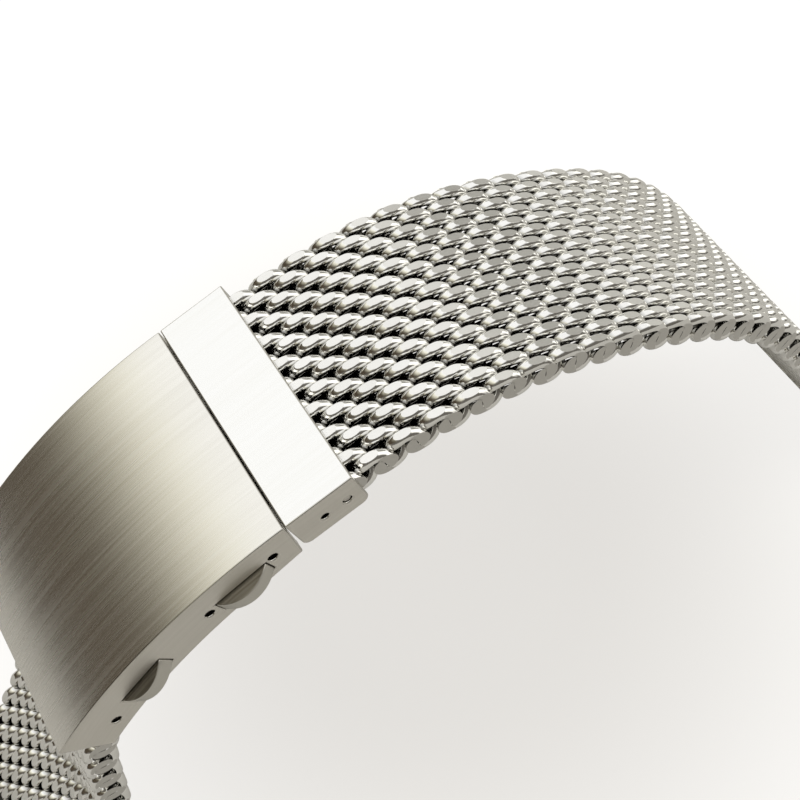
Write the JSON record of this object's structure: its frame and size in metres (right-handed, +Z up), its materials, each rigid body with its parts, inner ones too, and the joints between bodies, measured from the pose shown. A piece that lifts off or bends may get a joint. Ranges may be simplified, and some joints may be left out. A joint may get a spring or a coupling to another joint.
{
  "type": "woven mesh watch bracelet with fold-over clasp",
  "caption": "Heavy woven steel mesh watch bracelet with ground flats, a curved brushed fold-over clasp with side pushers, and sprung end bars.",
  "frame": {"origin": "centre of the bounding box, at the bottom", "axes": "X along the strap, Y across its width, Z up"},
  "size_m": [0.1106, 0.0254, 0.0559],
  "materials": {
    "clasp": "brushed along the strap on top, satin on the sides",
    "blades": "fine brushed sheet",
    "cages": "pressed sheet, dull",
    "pushers": "brushed along the strap",
    "pins": "drawn wire",
    "springs": "bright wire",
    "bars": "turned steel",
    "ends": "satin",
    "mesh": "polished wire with ground satin flats"
  },
  "bodies": {
    "cover": {"clasp_cover": "clasp", "front_cage": "cages", "front_cage_pin": "pins", "rear_cage": "cages", "cover_hinge_pin": "pins", "short_mesh_pin": "pins", "front_pusher_spring": "springs", "rear_pusher_spring": "springs"},
    "middle_blade": {"middle_blade": "blades", "rear_latch_posts": "pushers", "blade_elbow_pin": "pins"},
    "bottom_blade": {"bottom_blade": "blades", "front_latch_posts": "pushers"},
    "end_block": {"end_block": "clasp", "end_block_pin": "pins", "long_mesh_pin": "pins"},
    "front_pusher_near": {"front_pusher_near": "pushers"},
    "front_pusher_far": {"front_pusher_far": "pushers"},
    "rear_pusher_near": {"rear_pusher_near": "pushers"},
    "rear_pusher_far": {"rear_pusher_far": "pushers"},
    "long_mesh_01": {"long_mesh_01": "mesh"},
    "long_mesh_02": {"long_mesh_02": "mesh"},
    "long_mesh_03": {"long_mesh_03": "mesh"},
    "long_mesh_04": {"long_mesh_04": "mesh"},
    "long_mesh_05": {"long_mesh_05": "mesh"},
    "long_mesh_06": {"long_mesh_06": "mesh"},
    "long_mesh_07": {"long_mesh_07": "mesh"},
    "long_mesh_08": {"long_mesh_08": "mesh"},
    "long_mesh_09": {"long_mesh_09": "mesh"},
    "long_mesh_10": {"long_mesh_10": "mesh"},
    "long_mesh_11": {"long_mesh_11": "mesh"},
    "long_mesh_12": {"long_mesh_12": "mesh"},
    "long_mesh_13": {"long_mesh_13": "mesh"},
    "long_mesh_14": {"long_mesh_14": "mesh"},
    "long_mesh_15": {"long_mesh_15": "mesh"},
    "long_mesh_16": {"long_mesh_16": "mesh"},
    "long_mesh_17": {"long_mesh_17": "mesh"},
    "long_mesh_18": {"long_mesh_18": "mesh"},
    "long_mesh_19": {"long_mesh_19": "mesh"},
    "long_strap_end": {"long_strap_end": "ends", "long_end_pin": "pins"},
    "long_spring_bar": {"long_bar_barrel": "bars", "long_bar_tips_spring": "springs"},
    "long_tip_near": {"long_bar_tip_near": "bars"},
    "long_tip_far": {"long_bar_tip_far": "bars"},
    "short_mesh_01": {"short_mesh_01": "mesh"},
    "short_mesh_02": {"short_mesh_02": "mesh"},
    "short_mesh_03": {"short_mesh_03": "mesh"},
    "short_mesh_04": {"short_mesh_04": "mesh"},
    "short_mesh_05": {"short_mesh_05": "mesh"},
    "short_mesh_06": {"short_mesh_06": "mesh"},
    "short_mesh_07": {"short_mesh_07": "mesh"},
    "short_mesh_08": {"short_mesh_08": "mesh"},
    "short_mesh_09": {"short_mesh_09": "mesh"},
    "short_strap_end": {"short_strap_end": "ends", "short_end_pin": "pins"},
    "short_spring_bar": {"short_bar_barrel": "bars", "short_bar_tips_spring": "springs"},
    "short_tip_near": {"short_bar_tip_near": "bars"},
    "short_tip_far": {"short_bar_tip_far": "bars"}
  },
  "joints": [
    {"name": "fold_open", "type": "hinge", "parent": "cover", "child": "middle_blade", "pos_m": [-0.01651, 0, 0.05069], "axis": [0, -1, 0], "range_deg": [0, 120]},
    {"name": "blade_unfold", "type": "hinge", "parent": "middle_blade", "child": "bottom_blade", "pos_m": [-0.03098, 0, 0.04022], "axis": [0, 1, 0], "range_deg": [0, 120]},
    {"name": "end_block_swing", "type": "hinge", "parent": "bottom_blade", "child": "end_block", "pos_m": [-0.01138, 0, 0.05222], "axis": [0, 1, 0], "range_deg": [-2, 6]},
    {"name": "front_pusher_near_press", "type": "slide", "parent": "cover", "child": "front_pusher_near", "axis": [0, 1, 0], "range_m": [0, 0.0009], "stiffness_N_per_m": 1500, "springref_m": -0.0006, "deforming": ["front_pusher_spring"]},
    {"name": "front_pusher_far_press", "type": "slide", "parent": "cover", "child": "front_pusher_far", "axis": [0, -1, 0], "range_m": [0, 0.0009], "stiffness_N_per_m": 1500, "springref_m": -0.0006, "deforming": ["front_pusher_spring"]},
    {"name": "rear_pusher_near_press", "type": "slide", "parent": "cover", "child": "rear_pusher_near", "axis": [0, 1, 0], "range_m": [0, 0.0009], "stiffness_N_per_m": 1500, "springref_m": -0.0006, "deforming": ["rear_pusher_spring"]},
    {"name": "rear_pusher_far_press", "type": "slide", "parent": "cover", "child": "rear_pusher_far", "axis": [0, -1, 0], "range_m": [0, 0.0009], "stiffness_N_per_m": 1500, "springref_m": -0.0006, "deforming": ["rear_pusher_spring"]},
    {"name": "long_mesh_bend_01", "type": "hinge", "parent": "end_block", "child": "long_mesh_01", "pos_m": [-0.00919, 0, 0.05276], "axis": [0, 1, 0], "range_deg": [-4, 4]},
    {"name": "long_mesh_bend_02", "type": "hinge", "parent": "long_mesh_01", "child": "long_mesh_02", "pos_m": [-0.00513, 0, 0.05366], "axis": [0, 1, 0], "range_deg": [-4, 4]},
    {"name": "long_mesh_bend_03", "type": "hinge", "parent": "long_mesh_02", "child": "long_mesh_03", "pos_m": [-0.00051, 0, 0.05423], "axis": [0, 1, 0], "range_deg": [-4, 4]},
    {"name": "long_mesh_bend_04", "type": "hinge", "parent": "long_mesh_03", "child": "long_mesh_04", "pos_m": [0.00413, 0, 0.05424], "axis": [0, 1, 0], "range_deg": [-4, 4]},
    {"name": "long_mesh_bend_05", "type": "hinge", "parent": "long_mesh_04", "child": "long_mesh_05", "pos_m": [0.00874, 0, 0.05363], "axis": [0, 1, 0], "range_deg": [-4, 4]},
    {"name": "long_mesh_bend_06", "type": "hinge", "parent": "long_mesh_05", "child": "long_mesh_06", "pos_m": [0.01323, 0, 0.05243], "axis": [0, 1, 0], "range_deg": [-4, 4]},
    {"name": "long_mesh_bend_07", "type": "hinge", "parent": "long_mesh_06", "child": "long_mesh_07", "pos_m": [0.01757, 0, 0.05077], "axis": [0, 1, 0], "range_deg": [-4, 4]},
    {"name": "long_mesh_bend_08", "type": "hinge", "parent": "long_mesh_07", "child": "long_mesh_08", "pos_m": [0.02176, 0, 0.04876], "axis": [0, 1, 0], "range_deg": [-4, 4]},
    {"name": "long_mesh_bend_09", "type": "hinge", "parent": "long_mesh_08", "child": "long_mesh_09", "pos_m": [0.02577, 0, 0.0464], "axis": [0, 1, 0], "range_deg": [-4, 4]},
    {"name": "long_mesh_bend_10", "type": "hinge", "parent": "long_mesh_09", "child": "long_mesh_10", "pos_m": [0.02955, 0, 0.0437], "axis": [0, 1, 0], "range_deg": [-4, 4]},
    {"name": "long_mesh_bend_11", "type": "hinge", "parent": "long_mesh_10", "child": "long_mesh_11", "pos_m": [0.03301, 0, 0.0406], "axis": [0, 1, 0], "range_deg": [-4, 4]},
    {"name": "long_mesh_bend_12", "type": "hinge", "parent": "long_mesh_11", "child": "long_mesh_12", "pos_m": [0.03605, 0, 0.03709], "axis": [0, 1, 0], "range_deg": [-4, 4]},
    {"name": "long_mesh_bend_13", "type": "hinge", "parent": "long_mesh_12", "child": "long_mesh_13", "pos_m": [0.03867, 0, 0.03325], "axis": [0, 1, 0], "range_deg": [-4, 4]},
    {"name": "long_mesh_bend_14", "type": "hinge", "parent": "long_mesh_13", "child": "long_mesh_14", "pos_m": [0.04093, 0, 0.02919], "axis": [0, 1, 0], "range_deg": [-4, 4]},
    {"name": "long_mesh_bend_15", "type": "hinge", "parent": "long_mesh_14", "child": "long_mesh_15", "pos_m": [0.04297, 0, 0.02501], "axis": [0, 1, 0], "range_deg": [-4, 4]},
    {"name": "long_mesh_bend_16", "type": "hinge", "parent": "long_mesh_15", "child": "long_mesh_16", "pos_m": [0.04494, 0, 0.0208], "axis": [0, 1, 0], "range_deg": [-4, 4]},
    {"name": "long_mesh_bend_17", "type": "hinge", "parent": "long_mesh_16", "child": "long_mesh_17", "pos_m": [0.0469, 0, 0.01658], "axis": [0, 1, 0], "range_deg": [-4, 4]},
    {"name": "long_mesh_bend_18", "type": "hinge", "parent": "long_mesh_17", "child": "long_mesh_18", "pos_m": [0.04885, 0, 0.01236], "axis": [0, 1, 0], "range_deg": [-4, 4]},
    {"name": "long_mesh_bend_19", "type": "hinge", "parent": "long_mesh_18", "child": "long_mesh_19", "pos_m": [0.05079, 0, 0.00813], "axis": [0, 1, 0], "range_deg": [-4, 4]},
    {"name": "long_strap_end_swing", "type": "hinge", "parent": "long_mesh_19", "child": "long_strap_end", "pos_m": [0.05253, 0, 0.00435], "axis": [0, 1, 0], "range_deg": [-4, 4]},
    {"name": "long_spring_bar_turn", "type": "hinge", "parent": "long_strap_end", "child": "long_spring_bar", "pos_m": [0.05385, 0, 0.00145], "axis": [0, 1, 0], "continuous": true},
    {"name": "long_tip_near_press", "type": "slide", "parent": "long_spring_bar", "child": "long_tip_near", "axis": [0, 1, 0], "range_m": [0, 0.001], "stiffness_N_per_m": 1200, "springref_m": -0.0006, "deforming": ["long_bar_tips_spring"]},
    {"name": "long_tip_far_press", "type": "slide", "parent": "long_spring_bar", "child": "long_tip_far", "axis": [0, -1, 0], "range_m": [0, 0.001], "stiffness_N_per_m": 1200, "springref_m": -0.0006, "deforming": ["long_bar_tips_spring"]},
    {"name": "short_mesh_bend_01", "type": "hinge", "parent": "cover", "child": "short_mesh_01", "pos_m": [-0.03407, 0, 0.03964], "axis": [0, -1, 0], "range_deg": [-4, 4]},
    {"name": "short_mesh_bend_02", "type": "hinge", "parent": "short_mesh_01", "child": "short_mesh_02", "pos_m": [-0.03617, 0, 0.03606], "axis": [0, -1, 0], "range_deg": [-4, 2]},
    {"name": "short_mesh_bend_03", "type": "hinge", "parent": "short_mesh_02", "child": "short_mesh_03", "pos_m": [-0.03759, 0, 0.03164], "axis": [0, -1, 0], "range_deg": [-4, 4]},
    {"name": "short_mesh_bend_04", "type": "hinge", "parent": "short_mesh_03", "child": "short_mesh_04", "pos_m": [-0.03839, 0, 0.02706], "axis": [0, -1, 0], "range_deg": [-4, 4]},
    {"name": "short_mesh_bend_05", "type": "hinge", "parent": "short_mesh_04", "child": "short_mesh_05", "pos_m": [-0.03922, 0, 0.02249], "axis": [0, -1, 0], "range_deg": [-4, 4]},
    {"name": "short_mesh_bend_06", "type": "hinge", "parent": "short_mesh_05", "child": "short_mesh_06", "pos_m": [-0.04069, 0, 0.01808], "axis": [0, -1, 0], "range_deg": [-3.8, 4]},
    {"name": "short_mesh_bend_07", "type": "hinge", "parent": "short_mesh_06", "child": "short_mesh_07", "pos_m": [-0.04297, 0, 0.01405], "axis": [0, -1, 0], "range_deg": [-3.6, 4]},
    {"name": "short_mesh_bend_08", "type": "hinge", "parent": "short_mesh_07", "child": "short_mesh_08", "pos_m": [-0.0459, 0, 0.01044], "axis": [0, -1, 0], "range_deg": [-4, 4]},
    {"name": "short_mesh_bend_09", "type": "hinge", "parent": "short_mesh_08", "child": "short_mesh_09", "pos_m": [-0.04897, 0, 0.00695], "axis": [0, -1, 0], "range_deg": [-4, 4]},
    {"name": "short_strap_end_swing", "type": "hinge", "parent": "short_mesh_09", "child": "short_strap_end", "pos_m": [-0.05174, 0, 0.00383], "axis": [0, -1, 0], "range_deg": [-4, 4]},
    {"name": "short_spring_bar_turn", "type": "hinge", "parent": "short_strap_end", "child": "short_spring_bar", "pos_m": [-0.05385, 0, 0.00145], "axis": [0, 1, 0], "continuous": true},
    {"name": "short_tip_near_press", "type": "slide", "parent": "short_spring_bar", "child": "short_tip_near", "axis": [0, 1, 0], "range_m": [0, 0.001], "stiffness_N_per_m": 1200, "springref_m": -0.0006, "deforming": ["short_bar_tips_spring"]},
    {"name": "short_tip_far_press", "type": "slide", "parent": "short_spring_bar", "child": "short_tip_far", "axis": [0, -1, 0], "range_m": [0, 0.001], "stiffness_N_per_m": 1200, "springref_m": -0.0006, "deforming": ["short_bar_tips_spring"]}
  ],
  "couplings": [
    {"joint": "blade_unfold", "follows": "fold_open", "ratio": 1}
  ]
}
